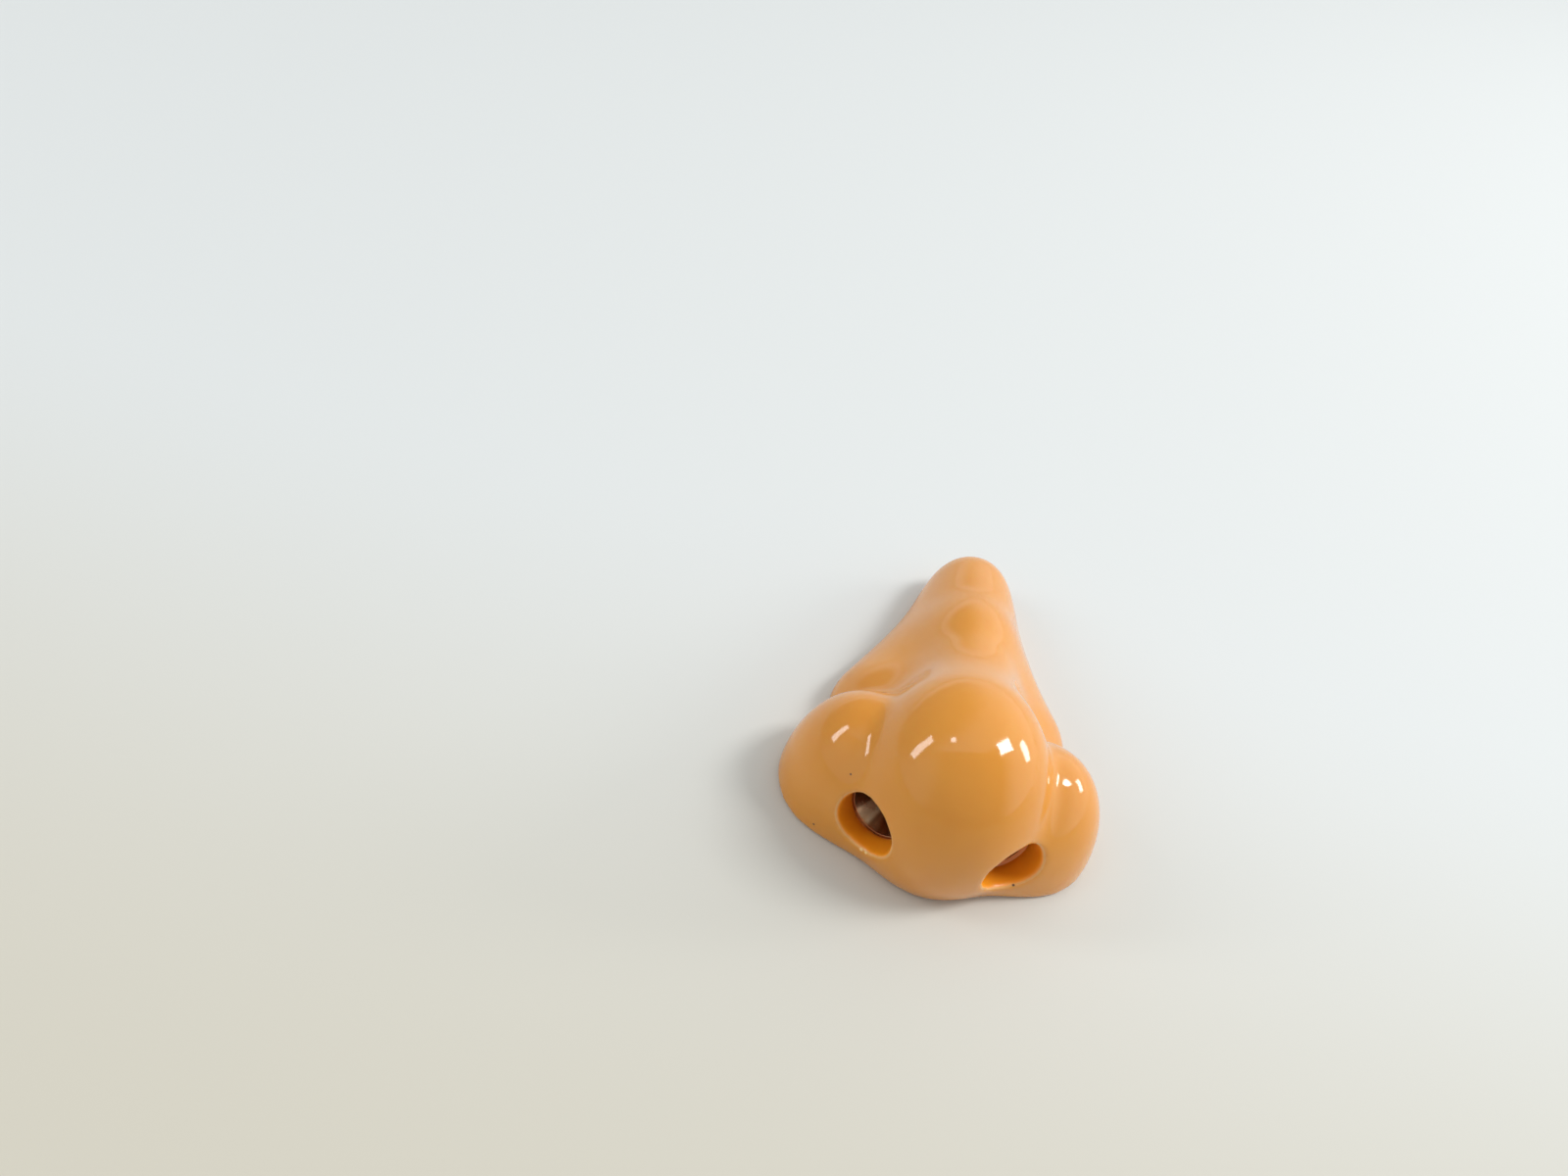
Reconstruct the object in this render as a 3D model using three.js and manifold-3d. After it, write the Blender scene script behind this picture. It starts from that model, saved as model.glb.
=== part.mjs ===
// A moulded false nose: one hollow plastic shell, flat and open at the back, with a round bore for each
// nostril and a small metal cone seated in a socket behind each bore.
// Millimetres. X runs across the face, Y from the nostrils up to the root, Z out of the face.

import * as THREE from 'three';
import { mergeGeometries, mergeVertices } from 'three/addons/utils/BufferGeometryUtils.js';
import loadManifold from 'manifold-3d';

// Driving sizes of the shell: its wall, and the width over which the ridge and the wings meet
const WALL = 3;
const CREASE = 1;

// Round lobes of the skin, on the +X side: centre, then half sizes across (x), along (y) and out (z)
const LOBES = {
  tip: { x: 0, y: 12, z: 11.6, across: 9.7, along: 8.8, out: 9.6 },
  wing: { x: 10.8, y: 15.5, z: 0, across: 8.5, along: 8.7, out: 14.2 },
  columella: { x: 0, y: 10, z: 4.5, across: 8, along: 7.6, out: 9 },
  hump: { x: 0, y: 35, z: 7, across: 4.6, along: 5.2, out: 4.9 },
};

// Tapered bars of the skin with round ends, on the +X side: each end's centre and radius
const BARS = {
  sill: { low: { x: 3.5, y: 12.5, z: 6.5, radius: 6.2 }, high: { x: 7.5, y: 14.5, z: 5.5, radius: 6 } },
  bridge: { low: { x: 0, y: 18, z: 12.6, radius: 6 }, high: { x: 0, y: 49, z: 3.5, radius: 5.2 } },
  cheek: { low: { x: 6.7, y: 26.3, z: 0, radius: 8.6 }, high: { x: 2.2, y: 44.5, z: 0, radius: 4.5 } },
  core: { low: { x: 0, y: 18, z: 2, radius: 9 }, high: { x: 0, y: 46.5, z: 0, radius: 5 } },
};

// The forms run softly into each other within the ridge and within the wings, each over its own width,
// and the ridge and the wings meet in the crease beside the tip. The core lies under the skin and only
// joins up the hollow.
const RIDGE = [
  { form: 'tip', blend: 0 },
  { form: 'columella', blend: 7 },
  { form: 'sill', blend: 5 },
  { form: 'bridge', blend: 8 },
  { form: 'hump', blend: 4 },
  { form: 'cheek', blend: 6 },
  { form: 'core', blend: 1 },
];
const WINGS = [
  { form: 'wing', blend: 0 },
  { form: 'columella', blend: 7 },
  { form: 'sill', blend: 5 },
];

// Nostrils: where the right one's axis meets the skin, the way it points out, and sizes down its axis
const NOSTRIL = { x: 8, y: 6.4, z: 6.9 };
const NOSTRIL_OUT = { x: 0.42, y: -0.88, z: 0.2 };
const BORE_RADIUS = 3.7;
const SEAT_DEPTH = 2.8;
const SOCKET_RADIUS = 4.5;
const SOCKET_DEPTH = 5.8;
const BOSS_RADIUS = 6.2;
const SEAT_GAP = 0.3;

// Metal cone behind a nostril
const CONE_FLANGE = 2.2;
const CONE_LENGTH = 9;
const CONE_MOUTH_RADIUS = 3.4;
const CONE_TIP_RADIUS = 1;
const CONE_WALL = 0.8;

// Facets: columns from side to side and rows from root to base, outside and inside
const OUTSIDE = { columns: 48, rows: 56, inset: 0 };
const INSIDE = { columns: 32, rows: 40, inset: WALL };
const ROUND_SIDES = 32;

// Rays for the skin start at this point of the back plane, and crowd together towards the root.
const HUB = new THREE.Vector3(0, 20, 0);
const ROOT_CROWDING = 1.35;
const FAR = 60;
const CLOSE_ENOUGH = 1e-5;
const OVERCUT = 1;

const manifold = await loadManifold();
manifold.setup();

// Distance from a point to a round lobe, near enough for blending
function lobeDistance(point, lobe, inset) {
  const size = new THREE.Vector3(lobe.across, lobe.along, lobe.out).subScalar(inset);
  const scaled = new THREE.Vector3().subVectors(point, lobe).divide(size);
  const length = scaled.length();
  const slope = scaled.divide(size).length();
  return slope > 0 ? (length * (length - 1)) / slope : -Math.min(...size);
}

// Distance from a point to a tapered bar: in the plane of the bar's axis and the point, the bar's side is
// a line that touches both end circles.
function barDistance(point, { low, high }) {
  const axis = new THREE.Vector3().subVectors(high, low);
  const length = axis.length();
  axis.divideScalar(length);
  const fromLow = new THREE.Vector3().subVectors(point, low);
  const along = fromLow.dot(axis);
  const beside = fromLow.addScaledVector(axis, -along).length();
  const taper = (low.radius - high.radius) / length;
  const lean = Math.sqrt(1 - taper * taper);
  const reach = lean * along - taper * beside;
  if (reach < 0) return Math.hypot(beside, along) - low.radius;
  if (reach > lean * length) return Math.hypot(beside, along - length) - high.radius;
  return lean * beside + taper * along - low.radius;
}

function softUnion(a, b, blend) {
  const overlap = Math.max(blend - Math.abs(a - b), 0);
  return Math.min(a, b) - (blend > 0 ? (overlap * overlap) / (4 * blend) : 0);
}

function formDistance(point, form, inset) {
  if (form in LOBES) return lobeDistance(point, LOBES[form], inset);
  return barDistance(point, BARS[form]) + inset;
}

// Distance to a group of forms; under the skin the forms run further into each other.
function groupDistance(point, group, inset) {
  let distance = Infinity;
  for (const { form, blend } of group) {
    distance = softUnion(distance, formDistance(point, form, inset), blend + inset);
  }
  return distance;
}

// Distance from a point to the nose's skin, or to the surface inset under it, negative inside; both
// sides are alike.
function skinDistance(point, inset) {
  const folded = new THREE.Vector3(Math.abs(point.x), point.y, point.z);
  return softUnion(groupDistance(folded, RIDGE, inset), groupDistance(folded, WINGS, inset), CREASE + inset);
}

// The point where a ray from the hub leaves the skin, or the surface inset under it. The search comes in
// from afar by half the distance that is left, so it stops at the outermost crossing.
function skinPoint(ray, inset) {
  const point = new THREE.Vector3();
  let reach = FAR;
  let distance = Infinity;
  while (distance > CLOSE_ENOUGH && reach > 0) {
    point.copy(HUB).addScaledVector(ray, reach);
    distance = skinDistance(point, inset);
    reach -= distance / 2;
  }
  return point;
}

// A closed dome with a flat back: half a unit sphere and a disc that shares its border, every vertex sent
// out along its ray
function domeGeometry({ columns, rows, inset }) {
  const front = new THREE.SphereGeometry(1, columns, rows, 0, Math.PI);
  const back = new THREE.CircleGeometry(1, 2 * rows).rotateX(Math.PI);
  const unit = mergeGeometries([front, back]);
  unit.deleteAttribute('normal');
  unit.deleteAttribute('uv');
  const dome = mergeVertices(unit, CLOSE_ENOUGH);
  const place = dome.attributes.position;
  const ray = new THREE.Vector3();
  const polar = new THREE.Spherical();
  for (let i = 0; i < place.count; i += 1) {
    ray.fromBufferAttribute(place, i);
    const onBack = ray.z < CLOSE_ENOUGH;
    if (ray.length() < CLOSE_ENOUGH) {
      place.setXYZ(i, HUB.x, HUB.y, 0);
    } else {
      polar.setFromVector3(ray);
      polar.phi = Math.PI * (polar.phi / Math.PI) ** ROOT_CROWDING;
      const skin = skinPoint(ray.setFromSpherical(polar), inset);
      place.setXYZ(i, skin.x, skin.y, onBack ? 0 : skin.z);
    }
  }
  return dome;
}

// Turned piece on a nostril's axis: profile rows are radius and depth under the skin
function turnedOnNostril(side, profile) {
  const points = profile.map(([radius, depth]) => new THREE.Vector2(radius, depth));
  const inward = new THREE.Vector3(-side * NOSTRIL_OUT.x, -NOSTRIL_OUT.y, -NOSTRIL_OUT.z).normalize();
  const turn = new THREE.Quaternion().setFromUnitVectors(new THREE.Vector3(0, 1, 0), inward);
  return new THREE.LatheGeometry(points, ROUND_SIDES)
    .applyQuaternion(turn)
    .translate(side * NOSTRIL.x, NOSTRIL.y, NOSTRIL.z);
}

function plugOnNostril(side, radius, top, bottom) {
  return turnedOnNostril(side, [[0, top], [radius, top], [radius, bottom], [0, bottom]]);
}

function toSolid(geometry) {
  const bare = geometry.clone();
  bare.deleteAttribute('normal');
  bare.deleteAttribute('uv');
  const merged = mergeVertices(bare, CLOSE_ENOUGH);
  return new manifold.Manifold(
    new manifold.Mesh({
      numProp: 3,
      vertProperties: new Float32Array(merged.attributes.position.array),
      triVerts: new Uint32Array(merged.index.array),
    }),
  );
}

function toGeometry(solid) {
  const mesh = solid.getMesh();
  const geometry = new THREE.BufferGeometry();
  geometry.setAttribute('position', new THREE.BufferAttribute(mesh.vertProperties, mesh.numProp));
  geometry.setIndex(new THREE.BufferAttribute(mesh.triVerts, 1));
  return geometry;
}

const SIDES = { left: -1, right: 1 };

// The shell: the skin less the hollow behind it, with a boss left standing round each nostril's bore
function shellGeometry() {
  const hollowDome = domeGeometry(INSIDE);
  const place = hollowDome.attributes.position;
  for (let i = 0; i < place.count; i += 1) {
    if (place.getZ(i) === 0) place.setZ(i, -OVERCUT);
  }
  let hollow = toSolid(hollowDome);
  let shell = toSolid(domeGeometry(OUTSIDE));
  for (const side of Object.values(SIDES)) {
    hollow = hollow.subtract(toSolid(plugOnNostril(side, BOSS_RADIUS, -WALL, SOCKET_DEPTH)));
  }
  shell = shell.subtract(hollow);
  for (const side of Object.values(SIDES)) {
    shell = shell.subtract(toSolid(plugOnNostril(side, BORE_RADIUS, -WALL, SEAT_DEPTH + OVERCUT)));
    shell = shell.subtract(toSolid(plugOnNostril(side, SOCKET_RADIUS, SEAT_DEPTH, SOCKET_DEPTH + OVERCUT)));
  }
  return toGeometry(shell);
}

// A metal cone: a flange in the socket, tapering to a small open tip
function coneGeometry(side) {
  const top = SEAT_DEPTH + SEAT_GAP;
  const flangeEnd = top + CONE_FLANGE;
  const bottom = top + CONE_LENGTH;
  const flangeRadius = SOCKET_RADIUS - SEAT_GAP;
  const taper = (CONE_MOUTH_RADIUS - CONE_TIP_RADIUS) / CONE_LENGTH;
  const boreAtFlangeEnd = CONE_MOUTH_RADIUS - taper * CONE_FLANGE;
  return turnedOnNostril(side, [
    [CONE_MOUTH_RADIUS, top],
    [flangeRadius, top],
    [flangeRadius, flangeEnd],
    [boreAtFlangeEnd + CONE_WALL, flangeEnd],
    [CONE_TIP_RADIUS + CONE_WALL, bottom],
    [CONE_TIP_RADIUS, bottom],
    [CONE_MOUTH_RADIUS, top],
  ]);
}

const plastic = new THREE.MeshStandardMaterial({ color: '#d9994f', roughness: 0.18, metalness: 0 });
const metal = new THREE.MeshStandardMaterial({ color: '#8c857c', roughness: 0.35, metalness: 0.9 });

const nose = new THREE.Group();

const shell = new THREE.Mesh(shellGeometry(), plastic);
shell.name = 'nose_shell';
nose.add(shell);

for (const [name, side] of Object.entries(SIDES)) {
  const cone = new THREE.Mesh(coneGeometry(side), metal.clone());
  cone.name = `nostril_cone_${name}`;
  nose.add(cone);
}

// The origin is under the middle of the shell, on the plane of its back rim.
const middle = new THREE.Box3().setFromObject(shell).getCenter(new THREE.Vector3());
nose.position.set(0, -middle.y, 0);

export default nose;
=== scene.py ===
"""A moulded false nose: a glossy plastic shell with turned metal cones in its nostrils, and a studio.

Metres throughout. X runs across the face, Y from the nostrils up to the root, Z out of the face.
"""

import math

import bmesh
import bpy
import numpy as np
from bpy.props import FloatProperty, FloatVectorProperty, IntProperty, PointerProperty
from mathutils import Matrix, Vector


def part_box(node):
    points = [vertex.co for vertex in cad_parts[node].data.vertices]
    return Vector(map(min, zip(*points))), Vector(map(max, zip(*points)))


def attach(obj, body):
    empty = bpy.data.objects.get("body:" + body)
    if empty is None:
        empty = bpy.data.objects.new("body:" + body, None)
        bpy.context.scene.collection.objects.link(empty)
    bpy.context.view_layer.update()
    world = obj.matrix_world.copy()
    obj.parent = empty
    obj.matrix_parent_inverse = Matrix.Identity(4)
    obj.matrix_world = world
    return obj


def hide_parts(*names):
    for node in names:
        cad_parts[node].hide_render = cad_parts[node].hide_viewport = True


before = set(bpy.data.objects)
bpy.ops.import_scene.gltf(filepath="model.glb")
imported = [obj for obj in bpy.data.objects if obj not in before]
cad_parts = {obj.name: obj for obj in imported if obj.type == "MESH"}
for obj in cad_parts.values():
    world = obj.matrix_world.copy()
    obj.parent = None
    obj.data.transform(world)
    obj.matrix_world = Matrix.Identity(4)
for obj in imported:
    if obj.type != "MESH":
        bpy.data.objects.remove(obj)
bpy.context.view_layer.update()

bl_info = {
    "name": "False Nose",
    "version": (1, 0, 0),
    "blender": (4, 5, 0),
    "location": "3D View > Sidebar > False Nose",
    "description": "Models a glossy moulded false nose with turned metal cones, in a pale studio",
    "category": "Object",
}

BODY = "root"
SHELL_NODE = "nose_shell"

# Metal cones: the side that each is on, and how far its lip reaches into the bore, in millimetres
CONES = {
    "nostril_cone_left": {"side": -1, "lip": 0.05},
    "nostril_cone_right": {"side": 1, "lip": 0.4},
}
# Way from a cone's axis to the painted highlight streak that runs down its inside, as it is on the
# lathe
HIGHLIGHT_STREAK = (0.45, -0.89, 0)

MM = 0.001
MERGE_GAP = 0.001 * MM
PHOTO_WIDTH = 1600
PHOTO_HEIGHT = 1200
SENSOR_WIDTH_MM = 36

# Right nostril: a point of its axis just under the skin, and the way it points out. The left one
# mirrors it
NOSTRIL = Vector((8, -21.46, 6.9)) * MM
NOSTRIL_OUT = Vector((0.42, -0.88, 0.2)).normalized()
BORE_RADIUS = 3.7 * MM
BORE_DEPTH = 2.8 * MM

# How far outside the bore's radius its painted glow is full and gone, and the painted highlight line
# round the rim begins, is full, starts to fade and is gone, in millimetres. The glow is a deeper,
# brighter orange that stands in for light bouncing inside the bores
BORE_GLOW = {"full": 0.1, "gone": 0.25}
RIM_HIGHLIGHT = {"begins": 0.05, "full": 0.2, "fades": 0.25, "gone": 0.45}

# Roughness that each effect adds to the plastic and to the metal
PLASTIC_ROUGHNESS = {"marks": 0.1, "drift": 0.03, "edges": 0.12}
METAL_ROUGHNESS = {"drift": 0.15, "marks": 0.15, "lip": 0.25}

# Edge wear: passes that spread it, and the height over the neighbours at which it begins and is full
WEAR_PASSES = 4
WEAR_BEGINS = 0.04
WEAR_FULL = 0.16

# Y at which the floor's near colour begins to fade and is gone, in metres
FLOOR_FADES = -0.08
FLOOR_FAR = 0.03

# Dark flecks moulded into the plastic, and pale spots on its rims: place and radius, in millimetres
FLECKS = {
    "over_left_nostril": {"at": (-11.6, -18.85, 10.7), "radius": 0.16},
    "on_left_wing": {"at": (-13.6, -20.6, 1.75), "radius": 0.2},
    "under_right_nostril": {"at": (9.75, -21.85, 3.35), "radius": 0.2},
}
RIM_SPOTS = {
    "under_left_nostril": {"at": (-7.9, -22.9, 3.1), "radius": 0.3},
    "beside_it": {"at": (-7.3, -23.2, 3.25), "radius": 0.24},
}

# Soft windows of the studio: direction from the nose in the camera's axes (right, up, back), size
# across and upright, degrees of lean, and radiance
WINDOW_DISTANCE = 0.8
WINDOWS = {
    "left": {"towards": (-0.75, 0.53, 0.41), "size": (0.13, 0.40), "lean": 33, "radiance": 6.5},
    "small": {"towards": (-0.20, 0.71, 0.68), "size": (0.08, 0.06), "lean": 0, "radiance": 9},
    "right": {"towards": (0.76, 0.47, 0.45), "size": (0.28, 0.18), "lean": 0, "radiance": 18},
    "far_right": {"towards": (0.96, 0.25, 0.0), "size": (0.14, 0.22), "lean": 0, "radiance": 11},
}

# Parts of the room, each laid over those before it: the way that it lies, the closeness to that way at
# which it begins and is full, and its brightness
ROOM = {
    "ceiling": {"towards": (-0.27, 0.70, 0.66), "begins": 0.46, "full": 0.52, "radiance": 1.06},
    "left_wall": {"towards": (-0.94, -0.34, 0.1), "begins": 0.65, "full": 0.92, "radiance": 0.8},
    "dim_corner": {"towards": (-0.69, 0.58, 0.42), "begins": 0.5, "full": 0.85, "radiance": 0.46},
    "backdrop": {"towards": (-0.20, 0.60, -0.77), "begins": 0.48, "full": 0.59, "radiance": 1.0},
    "right_wall": {"towards": (0.94, 0.34, 0.0), "begins": 0.5, "full": 0.85, "radiance": 1.35},
}


class ShellSettings(bpy.types.PropertyGroup):
    """Mesh and plastic of the moulded shell"""

    pitch: FloatProperty(
        name="Mesh pitch",
        description="Size of the faces that the shell's skin is laid out with",
        default=0.3 * MM,
        unit="LENGTH",
        precision=5,
    )
    softening: IntProperty(
        name="Softening",
        description="Passes that even out the skin",
        default=14,
    )
    colour: FloatVectorProperty(
        name="Plastic",
        description="Main colour of the plastic",
        subtype="COLOR",
        default=(0.73, 0.295, 0.032),
    )
    warm_colour: FloatVectorProperty(
        name="Warm streaks",
        description="Colour that the plastic drifts to where it is denser",
        subtype="COLOR",
        default=(0.69, 0.262, 0.024),
    )
    # Also the colour of the painted highlight line round the nostril rims
    edge_wear_and_highlight_colour: FloatVectorProperty(
        name="Worn edge",
        description="Paler colour of rubbed and thin edges",
        subtype="COLOR",
        default=(0.88, 0.54, 0.22),
    )
    # Painted glow: a deeper, brighter orange inside the nostrils stands in for light bouncing there
    bore_glow_colour: FloatVectorProperty(
        name="Bores",
        description="Deep colour that the plastic has inside the nostrils",
        subtype="COLOR",
        default=(0.95, 0.33, 0.01),
    )
    # Painted highlight: a pale line round the nostril rims
    rim_highlight: FloatProperty(
        name="Rim line",
        description="Strength of the pale line round the nostrils",
        subtype="FACTOR",
        default=0.5,
    )
    # Colour of the small pale spots on the left nostril's lower rim
    rim_spot_colour: FloatVectorProperty(
        name="Chips",
        description="Pale colour of the chips on the rims",
        subtype="COLOR",
        default=(0.94, 0.62, 0.26),
    )
    fleck_colour: FloatVectorProperty(
        name="Flecks",
        description="Colour of the small flecks in the plastic",
        subtype="COLOR",
        default=(0.12, 0.05, 0.02),
    )
    gloss: FloatProperty(
        name="Roughness",
        description="Roughness of the polished skin",
        subtype="FACTOR",
        default=0.07,
    )
    inside_gloss: FloatProperty(
        name="Inner roughness",
        description="Roughness of the unpolished inner wall",
        subtype="FACTOR",
        default=0.38,
    )
    glow: FloatProperty(
        name="Translucency",
        description="Share of the light that passes under the skin",
        subtype="FACTOR",
        default=0.18,
    )


class ConeSettings(bpy.types.PropertyGroup):
    """Sizes and metal of the nostril cones"""

    seat: FloatProperty(
        name="Seat depth",
        description="Depth of the cone's mouth under the skin",
        default=BORE_DEPTH,
        unit="LENGTH",
        precision=5,
    )
    length: FloatProperty(
        name="Length",
        description="Length of the cone from its mouth to its tip",
        default=9 * MM,
        unit="LENGTH",
        precision=5,
    )
    flange_length: FloatProperty(
        name="Flange length",
        description="Length of the flange that sits in the socket",
        default=2.2 * MM,
        unit="LENGTH",
        precision=5,
    )
    flange_radius: FloatProperty(
        name="Flange radius",
        description="Outer radius of the flange",
        default=4.2 * MM,
        unit="LENGTH",
        precision=5,
    )
    mouth_radius: FloatProperty(
        name="Mouth radius",
        description="Inner radius at the mouth",
        default=3.64 * MM,
        unit="LENGTH",
        precision=5,
    )
    lip_radius: FloatProperty(
        name="Lip radius",
        description="Outer radius of the lip that reaches into the bore",
        default=3.68 * MM,
        unit="LENGTH",
        precision=5,
    )
    tip_radius: FloatProperty(
        name="Tip radius",
        description="Inner radius at the open tip",
        default=1 * MM,
        unit="LENGTH",
        precision=5,
    )
    wall: FloatProperty(
        name="Wall",
        description="Thickness of the cone's wall",
        default=0.8 * MM,
        unit="LENGTH",
        precision=5,
    )
    edge: FloatProperty(
        name="Edge",
        description="Width of the turned edges' rounding",
        default=0.015 * MM,
        unit="LENGTH",
        precision=5,
    )
    steps: IntProperty(
        name="Steps",
        description="Faces round the cone",
        default=96,
    )
    # Also the colour of the painted highlight streak down each cone's inside
    colour: FloatVectorProperty(
        name="Metal",
        description="Colour of the bare metal",
        subtype="COLOR",
        default=(0.95, 0.97, 0.88),
    )
    dull_colour: FloatVectorProperty(
        name="Dull metal",
        description="Colour of the metal where it has dulled",
        subtype="COLOR",
        default=(0.27, 0.15, 0.085),
    )
    # Painted highlight: a warm pale colour on the lip stands in for the light line that the cone's
    # mouth catches
    lip_highlight_colour: FloatVectorProperty(
        name="Lip",
        description="Warm colour of the lip at the cone's mouth",
        subtype="COLOR",
        default=(0.88, 0.54, 0.32),
    )
    gloss: FloatProperty(
        name="Roughness",
        description="Roughness of the turned metal",
        subtype="FACTOR",
        default=0.16,
    )


class StudioSettings(bpy.types.PropertyGroup):
    """Camera, floor and light"""

    azimuth: FloatProperty(
        name="Azimuth",
        description="Turn of the camera round the nose",
        subtype="ANGLE",
        default=math.radians(0.9),
    )
    elevation: FloatProperty(
        name="Elevation",
        description="Height of the camera over the nose's back plane",
        subtype="ANGLE",
        default=math.radians(46.5),
    )
    roll: FloatProperty(
        name="Roll",
        description="Turn of the camera about its line of sight",
        subtype="ANGLE",
        default=math.radians(15.7),
    )
    distance: FloatProperty(
        name="Distance",
        description="Distance from the camera's plane to the point it is placed by",
        default=138 * MM,
        unit="LENGTH",
    )
    aim: FloatVectorProperty(
        name="Placed by",
        description="Point of the nose that the camera is placed by",
        subtype="TRANSLATION",
        default=(0, -7.86 * MM, 9 * MM),
    )
    pixel: FloatVectorProperty(
        name="Pixel",
        description="Where that point lies in the picture, in pixels from its upper left",
        size=2,
        default=(978, 750),
    )
    lens: FloatProperty(
        name="Lens",
        description="Focal length in millimetres",
        default=27,
    )
    floor_half: FloatProperty(
        name="Floor half width",
        description="Half the width of the floor",
        default=3,
        unit="LENGTH",
    )
    floor_colour: FloatVectorProperty(
        name="Floor",
        description="Colour of the pale floor",
        subtype="COLOR",
        default=(0.69, 0.70, 0.69),
    )
    warm_floor_colour: FloatVectorProperty(
        name="Near floor",
        description="Colour of the pale floor in front of the nose",
        subtype="COLOR",
        default=(0.61, 0.57, 0.48),
    )
    room_colour: FloatVectorProperty(
        name="Room",
        description="Colour of the room's light",
        subtype="COLOR",
        default=(0.93, 0.98, 1.0),
    )
    room_front: FloatProperty(
        name="Room in front",
        description="Brightness of the room behind the camera",
        default=0.46,
    )
    plain_wall: FloatProperty(
        name="Plain wall",
        description="Brightness of the plain wall that the camera sees behind the floor",
        default=0.85,
    )


def add_node(tree, kind, settings=(), inputs=()):
    """A new node with its settings and inputs: a socket is linked, anything else is set as a value."""
    node = tree.nodes.new(kind)
    for name, value in dict(settings).items():
        setattr(node, name, value)
    for name, value in dict(inputs).items():
        if isinstance(value, bpy.types.NodeSocket):
            tree.links.new(value, node.inputs[name])
        else:
            node.inputs[name].default_value = value
    return node


def calculate(tree, operation, first, second=0.0, third=0.0):
    """A Math node's result."""
    values = {0: first, 1: second, 2: third}
    return add_node(tree, "ShaderNodeMath", {"operation": operation}, values).outputs[0]


def fade(tree, value, low, high):
    """A node's smooth rise from 0 at low to 1 at high; it falls where low is above high."""
    settings = {"interpolation_type": "SMOOTHSTEP"}
    inputs = {"Value": value, "From Min": low, "From Max": high}
    return add_node(tree, "ShaderNodeMapRange", settings, inputs).outputs["Result"]


def blend(tree, share, first, second):
    """A mix of two colours."""
    node = add_node(tree, "ShaderNodeMix", {"data_type": "RGBA"}, {0: share, 6: first, 7: second})
    return node.outputs[2]


def mix(tree, share, first, second):
    """A mix of two numbers."""
    return add_node(tree, "ShaderNodeMix", inputs={0: share, 2: first, 3: second}).outputs[0]


def noise(tree, where, scale, detail):
    """A Noise Texture's value."""
    inputs = {"Vector": where, "Scale": scale, "Detail": detail}
    return add_node(tree, "ShaderNodeTexNoise", inputs=inputs).outputs[0]


def stretched(tree, where, scale, turn=(0, 0, 0)):
    """A vector turned and stretched by a Mapping node."""
    inputs = {"Vector": where, "Rotation": turn, "Scale": scale}
    return add_node(tree, "ShaderNodeMapping", inputs=inputs).outputs[0]


def add_bump(tree, shader, height, strength, distance):
    """Feeds a bump of that height to the shader's normal."""
    inputs = {"Strength": strength, "Distance": distance, "Height": height}
    bump = add_node(tree, "ShaderNodeBump", inputs=inputs)
    tree.links.new(bump.outputs[0], shader.inputs["Normal"])


def opaque(colour):
    return (*colour, 1.0)


def new_group(name, inputs, outputs):
    """An empty shader node group: inputs are names with defaults, outputs are names of values."""
    group = bpy.data.node_groups.new(name, "ShaderNodeTree")
    for label, default in inputs.items():
        kind = "NodeSocketVector" if default is None else "NodeSocketFloat"
        socket = group.interface.new_socket(label, in_out="INPUT", socket_type=kind)
        if default is not None:
            socket.default_value = default
    for label in outputs:
        group.interface.new_socket(label, in_out="OUTPUT", socket_type="NodeSocketFloat")
    entry = group.nodes.new("NodeGroupInput")
    ending = group.nodes.new("NodeGroupOutput")
    return group, entry, ending


def place_group(tree, group, inputs):
    return add_node(tree, "ShaderNodeGroup", {"node_tree": group}, inputs)


def cloudy_drift():
    """Shared effect: a slow drift of tone, from 0 to 1 over the surface."""
    found = bpy.data.node_groups.get("cloudy_drift")
    if found:
        return found
    inputs = {"Vector": None, "Scale": 150.0, "Contrast": 1.0}
    group, entry, ending = new_group("cloudy_drift", inputs, ["Drift"])
    middle = 0.5
    clouds = noise(group, entry.outputs["Vector"], entry.outputs["Scale"], detail=3.0)
    centred = calculate(group, "SUBTRACT", clouds, middle)
    spread = calculate(group, "MULTIPLY_ADD", centred, entry.outputs["Contrast"], middle)
    clamped = add_node(group, "ShaderNodeClamp", inputs={"Value": spread})
    group.links.new(clamped.outputs[0], ending.inputs["Drift"])
    return group


def hairline_scratches():
    """Shared effect: thin crossing handling marks, 1 on a mark and 0 between them."""
    found = bpy.data.node_groups.get("hairline_scratches")
    if found:
        return found
    inputs = {"Vector": None, "Scale": 200.0, "Rarity": 0.7}
    group, entry, ending = new_group("hairline_scratches", inputs, ["Marks"])
    turns = ((0.4, 0.2, 0.7), (1.3, 0.9, -0.5))
    stretch = (0.12, 3.0, 3.0)
    blur = 0.04
    full = calculate(group, "ADD", entry.outputs["Rarity"], blur)
    marks = None
    for turn in turns:
        drawn = stretched(group, entry.outputs["Vector"], stretch, turn)
        grain = noise(group, drawn, entry.outputs["Scale"], detail=1.0)
        line = fade(group, grain, entry.outputs["Rarity"], full)
        marks = line if marks is None else calculate(group, "MAXIMUM", marks, line)
    group.links.new(marks, ending.inputs["Marks"])
    return group


def new_material(name):
    """A material with its node tree and Principled BSDF."""
    material = bpy.data.materials.new(name)
    material.use_nodes = True
    tree = material.node_tree
    return material, tree, tree.nodes["Principled BSDF"]


def attribute(tree, name):
    return add_node(tree, "ShaderNodeAttribute", {"attribute_name": name}).outputs["Fac"]


def vector_math(tree, operation, first, second):
    """A Vector Math node of two vectors."""
    return add_node(tree, "ShaderNodeVectorMath", {"operation": operation}, {0: first, 1: second})


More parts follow.
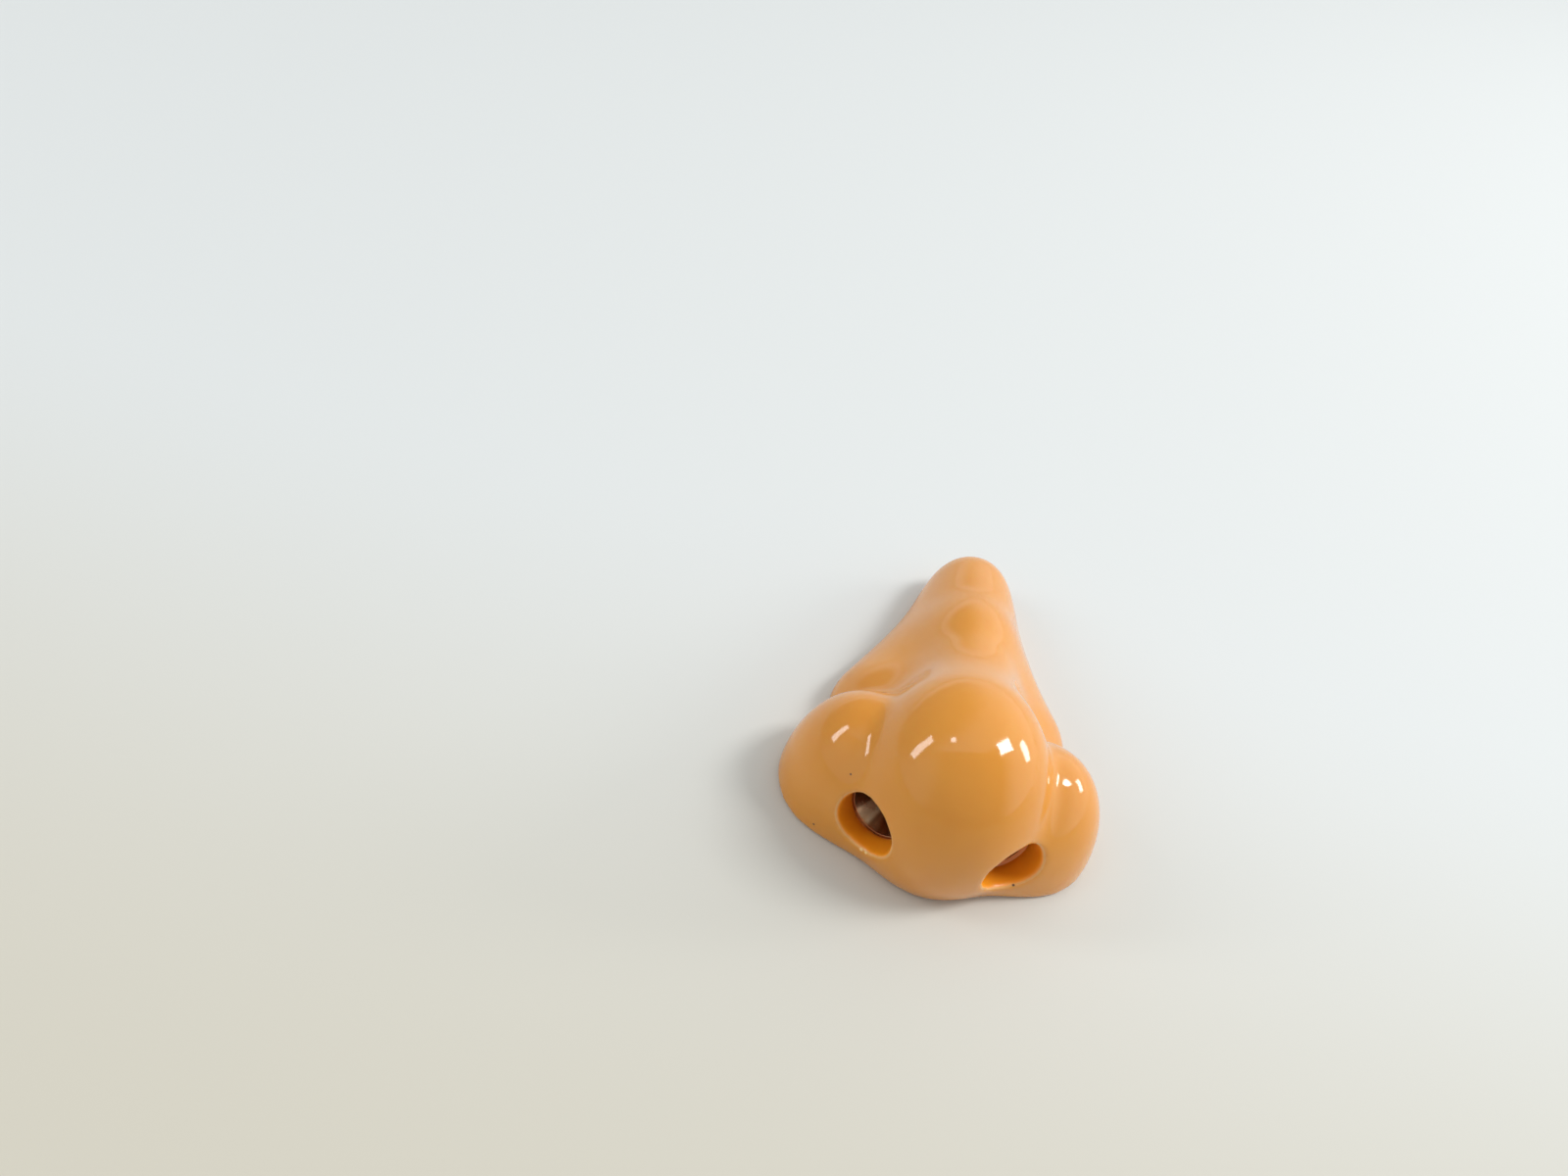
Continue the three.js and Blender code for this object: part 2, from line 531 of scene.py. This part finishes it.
def spots(tree, here, places):
    """1 on a table's round spots and 0 off them."""
    mask = None
    for row in places.values():
        gap = vector_math(tree, "DISTANCE", here, Vector(row["at"]) * MM).outputs["Value"]
        radius = row["radius"] * MM
        spot = fade(tree, gap, radius, radius / 2)
        mask = spot if mask is None else calculate(tree, "MAXIMUM", mask, spot)
    return mask


def nostril_masks(tree, here):
    """1 on the walls of the nostrils' bores, where the painted glow goes, and 1 on the painted
    highlight line round their rims.
    """
    part = add_node(tree, "ShaderNodeSeparateXYZ", inputs={0: here}).outputs
    mirrored = {"X": calculate(tree, "ABSOLUTE", part["X"]), "Y": part["Y"], "Z": part["Z"]}
    place = add_node(tree, "ShaderNodeCombineXYZ", inputs=mirrored).outputs[0]
    inside = vector_math(tree, "SUBTRACT", place, NOSTRIL).outputs[0]
    reach = vector_math(tree, "DOT_PRODUCT", inside, NOSTRIL_OUT).outputs["Value"]
    near = calculate(tree, "GREATER_THAN", reach, -2 * BORE_DEPTH)
    on_axis = vector_math(tree, "PROJECT", inside, NOSTRIL_OUT).outputs[0]
    beside = vector_math(tree, "DISTANCE", inside, on_axis).outputs["Value"]
    bore_glow = {step: BORE_RADIUS + gap * MM for step, gap in BORE_GLOW.items()}
    line = {step: BORE_RADIUS + gap * MM for step, gap in RIM_HIGHLIGHT.items()}
    # The painted glow fills the bore wall; the band just outside it is the painted highlight round the
    # rim
    wall = fade(tree, beside, bore_glow["gone"], bore_glow["full"])
    outside = fade(tree, beside, line["begins"], line["full"])
    close = fade(tree, beside, line["gone"], line["fades"])
    rim_highlight_band = calculate(tree, "MULTIPLY", outside, close)
    return calculate(tree, "MULTIPLY", wall, near), calculate(tree, "MULTIPLY", rim_highlight_band, near)


def orange_plastic(settings):
    """Glossy moulded plastic: drifting tone, worn edges, a painted highlight line round the nostril
    rims, bores with a painted glow, flecks, pale rim spots and fine marks.
    """
    material, tree, shader = new_material("orange_plastic")
    here = add_node(tree, "ShaderNodeTexCoord").outputs["Object"]
    drift = place_group(tree, cloudy_drift(), {"Vector": here, "Scale": 130.0, "Contrast": 1.8})
    marks = place_group(tree, hairline_scratches(), {"Vector": here, "Scale": 260.0, "Rarity": 0.72})
    inner = attribute(tree, "inner_wall")
    bore, rim = nostril_masks(tree, here)
    # Painted highlight: a pale line round the nostril rims, joined to the worn edges and coloured with
    # them
    line = calculate(tree, "MULTIPLY", rim, settings.rim_highlight)
    edge = calculate(tree, "MAXIMUM", attribute(tree, "edge_wear"), line)

    toned = blend(tree, drift.outputs["Drift"], opaque(settings.colour), opaque(settings.warm_colour))
    # Painted glow: the deeper, brighter orange on the bore walls
    bore_glow = blend(tree, bore, toned, opaque(settings.bore_glow_colour))
    worn = blend(tree, edge, bore_glow, opaque(settings.edge_wear_and_highlight_colour))
    rim_spotted = blend(tree, spots(tree, here, RIM_SPOTS), worn, opaque(settings.rim_spot_colour))
    flecked = blend(tree, spots(tree, here, FLECKS), rim_spotted, opaque(settings.fleck_colour))
    tree.links.new(flecked, shader.inputs["Base Color"])

    added = PLASTIC_ROUGHNESS
    scuffed = calculate(tree, "MULTIPLY_ADD", marks.outputs["Marks"], added["marks"], settings.gloss)
    uneven = calculate(tree, "MULTIPLY_ADD", drift.outputs["Drift"], added["drift"], scuffed)
    rubbed = calculate(tree, "MULTIPLY_ADD", edge, added["edges"], uneven)
    hidden = calculate(tree, "MAXIMUM", inner, bore)
    rough = mix(tree, hidden, rubbed, settings.inside_gloss)
    tree.links.new(rough, shader.inputs["Roughness"])

    waves = noise(tree, here, scale=170.0, detail=1.0)
    mark_height = -0.02
    scored = calculate(tree, "MULTIPLY_ADD", marks.outputs["Marks"], mark_height, waves)
    add_bump(tree, shader, scored, strength=0.25, distance=0.1 * MM)

    shader.inputs["IOR"].default_value = 1.6
    shader.inputs["Subsurface Weight"].default_value = settings.glow
    shader.inputs["Subsurface Radius"].default_value = (1.0, 0.4, 0.12)
    shader.inputs["Subsurface Scale"].default_value = 1.5 * MM
    return material


def turned_metal(settings):
    """Grey metal with rings from the lathe, dulled in patches, with a few handling marks, a painted
    highlight streak down its inside and a painted highlight on its lip.
    """
    material, tree, shader = new_material("turned_metal")
    here = add_node(tree, "ShaderNodeTexCoord").outputs["Object"]
    drift = place_group(tree, cloudy_drift(), {"Vector": here, "Scale": 420.0, "Contrast": 2.2})
    marks = place_group(tree, hairline_scratches(), {"Vector": here, "Scale": 500.0, "Rarity": 0.7})
    turned = add_node(tree, "ShaderNodeAttribute", {"attribute_name": "on_lathe"}).outputs["Vector"]
    streaks = noise(tree, stretched(tree, turned, scale=(1, 1, 0.04)), scale=3.0, detail=2.0)
    rings = noise(tree, stretched(tree, turned, scale=(0, 0, 1)), scale=9.0, detail=4.0)

    # Painted highlight: a bright streak in the bare metal colour down one side of each cone's inside
    highlight_share = 0.8
    faint_share = 0.2
    along = vector_math(tree, "DOT_PRODUCT", turned, HIGHLIGHT_STREAK).outputs["Value"]
    painted_highlight = fade(tree, along, low=0.93, high=0.98)
    streaky = fade(tree, streaks, low=0.4, high=0.65)
    faint = calculate(tree, "MULTIPLY", streaky, faint_share)
    bare = calculate(tree, "MULTIPLY_ADD", painted_highlight, highlight_share, faint)
    tone = blend(tree, bare, opaque(settings.dull_colour), opaque(settings.colour))
    # Painted highlight: the lip at the cone's mouth takes a warm pale colour for the light line its
    # edge catches
    lip_blur = 0.05
    seat = settings.seat / MM
    depth = add_node(tree, "ShaderNodeSeparateXYZ", inputs={0: turned}).outputs["Z"]
    lip = fade(tree, depth, seat + lip_blur, seat - lip_blur)
    highlit_lip = blend(tree, lip, tone, opaque(settings.lip_highlight_colour))
    tree.links.new(highlit_lip, shader.inputs["Base Color"])

    added = METAL_ROUGHNESS
    dulled = calculate(tree, "MULTIPLY_ADD", drift.outputs["Drift"], added["drift"], settings.gloss)
    scuffed = calculate(tree, "MULTIPLY_ADD", marks.outputs["Marks"], added["marks"], dulled)
    worn = calculate(tree, "MULTIPLY_ADD", lip, added["lip"], scuffed)
    tree.links.new(worn, shader.inputs["Roughness"])

    mark_height = -0.2
    cut = calculate(tree, "MULTIPLY_ADD", marks.outputs["Marks"], mark_height, rings)
    add_bump(tree, shader, cut, strength=0.15, distance=0.05 * MM)
    shader.inputs["Metallic"].default_value = 1.0
    return material


def pale_floor(settings):
    """Plain pale floor, a little warmer in front."""
    material, tree, shader = new_material("pale_floor")
    here = add_node(tree, "ShaderNodeTexCoord").outputs["Object"]
    away = add_node(tree, "ShaderNodeSeparateXYZ", inputs={0: here}).outputs["Y"]
    far = fade(tree, away, FLOOR_FADES, FLOOR_FAR)
    tone = blend(tree, far, opaque(settings.warm_floor_colour), opaque(settings.floor_colour))
    tree.links.new(tone, shader.inputs["Base Color"])
    shader.inputs["Roughness"].default_value = 0.9
    shader.inputs["Specular IOR Level"].default_value = 0.1
    return material


def new_object(name, mesh, material):
    mesh.materials.append(material)
    piece = bpy.data.objects.new(name, mesh)
    bpy.context.scene.collection.objects.link(piece)
    return piece


def mesh_from(bm, name):
    mesh = bpy.data.meshes.new(name)
    bm.to_mesh(mesh)
    bm.free()
    return mesh


def points_of(mesh, collection="vertices", what="co"):
    """Coordinates or normals of a mesh's vertices as rows."""
    values = np.zeros(len(mesh.vertices) * 3, np.float32)
    getattr(mesh, collection).foreach_get(what, values)
    return values.reshape(-1, 3).astype(float)


def store(mesh, name, values):
    """Keeps one number or one vector for each vertex as an attribute of the mesh."""
    flat = values.ndim == 1
    layer = mesh.attributes.new(name, "FLOAT" if flat else "FLOAT_VECTOR", "POINT")
    layer.data.foreach_set("value" if flat else "vector", values.astype(np.float32).ravel())


def nostril_axis(side):
    """Point and outward direction of the nostril on one side."""
    mirror = Vector((side, 1, 1))
    return NOSTRIL * mirror, NOSTRIL_OUT * mirror


def rise(values, low, high):
    """A smooth rise of an array's values, from 0 at low to 1 at high."""
    share = np.clip((values - low) / (high - low), 0, 1)
    return share * share * (3 - 2 * share)


def edge_wear(mesh):
    """1 on sharp convex edges and 0 on even skin, by how each vertex stands above its neighbours."""
    place = points_of(mesh)
    normal = points_of(mesh, "vertex_normals", "vector")
    ends = np.zeros(len(mesh.edges) * 2, np.int32)
    mesh.edges.foreach_get("vertices", ends)
    first, second = ends.reshape(-1, 2).T
    along = place[second] - place[first]
    along /= np.linalg.norm(along, axis=1)[:, None] + 1e-12
    count = np.bincount(ends, minlength=len(place)) + 1e-9
    height = np.bincount(first, -np.einsum("ij,ij->i", along, normal[first]), len(place))
    height += np.bincount(second, np.einsum("ij,ij->i", along, normal[second]), len(place))
    height /= count
    for _ in range(WEAR_PASSES):
        spread = np.bincount(first, height[second], len(place))
        spread += np.bincount(second, height[first], len(place))
        height = (height + spread / count) / 2
    return rise(height, WEAR_BEGINS, WEAR_FULL)


def inner_wall(mesh, pitch):
    """1 on the skin that looks into the hollow, at a hub in the open back's plane, and 0 elsewhere."""
    place = points_of(mesh)
    normal = points_of(mesh, "vertex_normals", "vector")
    low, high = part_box(SHELL_NODE)
    below_middle = 8 * MM
    hub = np.array([0, (low.y + high.y) / 2 - below_middle, 0])
    inward = np.einsum("ij,ij->i", normal, hub - place) > 0
    return (inward & (place[:, 2] > pitch)).astype(float)


def keep_one_skin(bm):
    """Removes any crumb that the laying out leaves apart from the one skin that the tip is on."""
    tip = max(bm.verts, key=lambda vert: vert.co.z)
    skin = {tip}
    ahead = [tip]
    while ahead:
        vert = ahead.pop()
        beside = {edge.other_vert(vert) for edge in vert.link_edges} - skin
        skin |= beside
        ahead.extend(beside)
    crumbs = [vert for vert in bm.verts if vert not in skin]
    bmesh.ops.delete(bm, geom=crumbs, context="VERTS")


def soften(mesh, passes):
    """Evens out the skin and rounds its rims."""
    bm = bmesh.new()
    bm.from_mesh(mesh)
    keep_one_skin(bm)
    axes = {"use_axis_x": True, "use_axis_y": True, "use_axis_z": True}
    for _ in range(passes):
        bmesh.ops.smooth_vert(bm, verts=bm.verts, factor=0.5, **axes)
    bm.to_mesh(mesh)
    bm.free()


class FALSENOSE_OT_moulded_shell(bpy.types.Operator):
    """Model the moulded shell over the nose's solid and give it its plastic"""

    bl_idname = "false_nose.moulded_shell"
    bl_label = "Moulded Shell"

    def execute(self, context):
        settings = context.scene.false_nose_shell
        bm = bmesh.new()
        bm.from_mesh(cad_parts[SHELL_NODE].data)
        bmesh.ops.remove_doubles(bm, verts=bm.verts, dist=MERGE_GAP)
        rough = bpy.data.objects.new("rough_shell", mesh_from(bm, "rough_shell"))
        context.scene.collection.objects.link(rough)

        laid = rough.modifiers.new("laid_out", "REMESH")
        laid.mode = "VOXEL"
        laid.voxel_size = settings.pitch
        laid.use_smooth_shade = True
        finished = rough.evaluated_get(context.evaluated_depsgraph_get())
        mesh = bpy.data.meshes.new_from_object(finished)
        bpy.data.objects.remove(rough)
        if not mesh.polygons:
            raise RuntimeError("the shell came out empty")

        mesh.name = "moulded_shell"
        soften(mesh, settings.softening)
        store(mesh, "edge_wear", edge_wear(mesh))
        store(mesh, "inner_wall", inner_wall(mesh, settings.pitch))
        piece = new_object("moulded_shell", mesh, orange_plastic(settings))
        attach(piece, BODY)
        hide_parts(SHELL_NODE)
        return {"FINISHED"}


def cone_profile(settings, lip):
    """Half section of a cone as radius and depth under the skin, round its wall from the mouth."""
    top = settings.seat
    flange_end = top + settings.flange_length
    bottom = top + settings.length
    taper = (settings.mouth_radius - settings.tip_radius) / settings.length
    neck = settings.mouth_radius - taper * settings.flange_length + settings.wall
    return [
        (settings.mouth_radius, top - lip),
        (settings.lip_radius, top - lip),
        (settings.lip_radius, top),
        (settings.flange_radius, top),
        (settings.flange_radius, flange_end),
        (neck, flange_end),
        (settings.tip_radius + settings.wall, bottom),
        (settings.tip_radius, bottom),
    ]


def turned_cone(settings, side, lip):
    """A cone turned on its nostril's axis with eased edges, and where each vertex was on the lathe."""
    bm = bmesh.new()
    ring = [bm.verts.new((radius, 0, depth)) for radius, depth in cone_profile(settings, lip)]
    section = [bm.edges.new((ring[i - 1], ring[i])) for i in range(len(ring))]
    bmesh.ops.spin(
        bm,
        geom=ring + section,
        cent=(0, 0, 0),
        axis=(0, 0, 1),
        angle=math.tau,
        steps=settings.steps,
        use_merge=True,
    )
    bmesh.ops.remove_doubles(bm, verts=bm.verts, dist=MERGE_GAP)
    bmesh.ops.recalc_face_normals(bm, faces=bm.faces)
    sharp = math.radians(20)
    corners = [edge for edge in bm.edges if edge.calc_face_angle(0) > sharp]
    bmesh.ops.bevel(
        bm,
        geom=corners,
        offset=settings.edge,
        offset_type="OFFSET",
        segments=3,
        profile=0.5,
        affect="EDGES",
        material=-1,
    )
    for face in bm.faces:
        face.smooth = True
    on_lathe = np.array([(*v.co.xy.normalized(), v.co.z / MM) for v in bm.verts])
    mouth, outward = nostril_axis(side)
    turn = (-outward).to_track_quat("Z", "Y").to_matrix().to_4x4()
    bmesh.ops.transform(bm, matrix=Matrix.Translation(mouth) @ turn, verts=bm.verts)
    return bm, on_lathe


class FALSENOSE_OT_nostril_cones(bpy.types.Operator):
    """Turn the metal cone of each nostril"""

    bl_idname = "false_nose.nostril_cones"
    bl_label = "Nostril Cones"

    def execute(self, context):
        settings = context.scene.false_nose_cones
        metal = turned_metal(settings)
        for node, cone in CONES.items():
            bm, on_lathe = turned_cone(settings, cone["side"], cone["lip"] * MM)
            name = f"turned_{node}"
            mesh = mesh_from(bm, name)
            store(mesh, "on_lathe", on_lathe)
            piece = new_object(name, mesh, metal)
            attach(piece, BODY)
            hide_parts(node)
        return {"FINISHED"}


def camera_axes(settings):
    """Right, up and back of the camera, from its angles round the nose."""
    azimuth = settings.azimuth
    flat = math.cos(settings.elevation)
    high = math.sin(settings.elevation)
    back = Vector((math.sin(azimuth) * flat, -math.cos(azimuth) * flat, high))
    level = Vector((math.cos(azimuth), math.sin(azimuth), 0))
    upright = back.cross(level)
    right = math.cos(settings.roll) * level + math.sin(settings.roll) * upright
    return right, back.cross(right), back


def add_camera(settings, axes):
    """The camera, placed so that its point of the nose falls on its pixel of the picture."""
    right, up, back = axes
    scale = SENSOR_WIDTH_MM / settings.lens / PHOTO_WIDTH * settings.distance
    across = (settings.pixel[0] - PHOTO_WIDTH / 2) * scale
    down = (settings.pixel[1] - PHOTO_HEIGHT / 2) * scale
    data = bpy.data.cameras.new("camera")
    data.lens = settings.lens
    data.sensor_width = SENSOR_WIDTH_MM
    data.clip_start = 5 * MM
    camera = bpy.data.objects.new("camera", data)
    bpy.context.scene.collection.objects.link(camera)
    place = Vector(settings.aim) - across * right + down * up + settings.distance * back
    turn = Matrix((right, up, back)).transposed().to_4x4()
    camera.matrix_world = Matrix.Translation(place) @ turn
    bpy.context.scene.camera = camera


def add_window(name, row, aim, axes):
    """A soft light that faces the nose; its power gives the radiance of its row."""
    right, up, back = axes
    x, y, z = row["towards"]
    towards = (x * right + y * up + z * back).normalized()
    data = bpy.data.lights.new(f"window_{name}", "AREA")
    data.shape = "RECTANGLE"
    data.size, data.size_y = row["size"]
    data.energy = row["radiance"] * math.pi * data.size * data.size_y
    light = bpy.data.objects.new(data.name, data)
    bpy.context.scene.collection.objects.link(light)
    across = up.cross(towards).normalized()
    facing = Matrix((across, towards.cross(across), towards)).transposed().to_4x4()
    lean = Matrix.Rotation(-math.radians(row["lean"]), 4, "Z")
    light.matrix_world = Matrix.Translation(aim + WINDOW_DISTANCE * towards) @ facing @ lean
    light.visible_camera = False


def add_floor(settings):
    bm = bmesh.new()
    bmesh.ops.create_grid(bm, x_segments=1, y_segments=1, size=settings.floor_half)
    floor = new_object("floor", mesh_from(bm, "floor"), pale_floor(settings))


def add_room(settings):
    """Light of the room, which is dim behind the camera. The camera itself sees a plain wall."""
    world = bpy.data.worlds.new("room")
    world.use_nodes = True
    tree = world.node_tree
    way = add_node(tree, "ShaderNodeTexCoord").outputs["Generated"]
    strength = settings.room_front
    for row in ROOM.values():
        towards = Vector(row["towards"]).normalized()
        close = vector_math(tree, "DOT_PRODUCT", way, towards).outputs["Value"]
        share = fade(tree, close, row["begins"], row["full"])
        strength = mix(tree, share, strength, row["radiance"])
    seen = add_node(tree, "ShaderNodeLightPath").outputs["Is Camera Ray"]
    shown = mix(tree, seen, strength, settings.plain_wall)
    background = tree.nodes["Background"]
    background.inputs["Color"].default_value = opaque(settings.room_colour)
    tree.links.new(shown, background.inputs["Strength"])
    bpy.context.scene.world = world


class FALSENOSE_OT_studio(bpy.types.Operator):
    """Set the pale floor, the soft light and the camera"""

    bl_idname = "false_nose.studio"
    bl_label = "Studio"

    def execute(self, context):
        settings = context.scene.false_nose_studio
        axes = camera_axes(settings)
        add_camera(settings, axes)
        add_floor(settings)
        add_room(settings)
        for name, row in WINDOWS.items():
            add_window(name, row, Vector(settings.aim), axes)
        context.scene.view_settings.view_transform = "Standard"
        return {"FINISHED"}


class FALSENOSE_PT_sidebar(bpy.types.Panel):
    """Lists the makers of the nose and their settings"""

    bl_idname = "FALSENOSE_PT_sidebar"
    bl_label = "False Nose"
    bl_space_type = "VIEW_3D"
    bl_region_type = "UI"
    bl_category = "False Nose"

    def draw(self, context):
        for maker, group in MAKERS.items():
            box = self.layout.box()
            box.operator(maker.bl_idname)
            settings = getattr(context.scene, group)
            for name in settings.__annotations__:
                box.prop(settings, name)


SETTINGS = {
    "false_nose_shell": ShellSettings,
    "false_nose_cones": ConeSettings,
    "false_nose_studio": StudioSettings,
}
MAKERS = {
    FALSENOSE_OT_moulded_shell: "false_nose_shell",
    FALSENOSE_OT_nostril_cones: "false_nose_cones",
    FALSENOSE_OT_studio: "false_nose_studio",
}
CLASSES = (*SETTINGS.values(), *MAKERS, FALSENOSE_PT_sidebar)


def register():
    for cls in CLASSES:
        bpy.utils.register_class(cls)
    for name, group in SETTINGS.items():
        setattr(bpy.types.Scene, name, PointerProperty(type=group))


def unregister():
    for name in SETTINGS:
        delattr(bpy.types.Scene, name)
    for cls in reversed(CLASSES):
        bpy.utils.unregister_class(cls)


def main():
    register()
    bpy.ops.false_nose.moulded_shell()
    bpy.ops.false_nose.nostril_cones()
    bpy.ops.false_nose.studio()


if __name__ == "__main__":
    main()
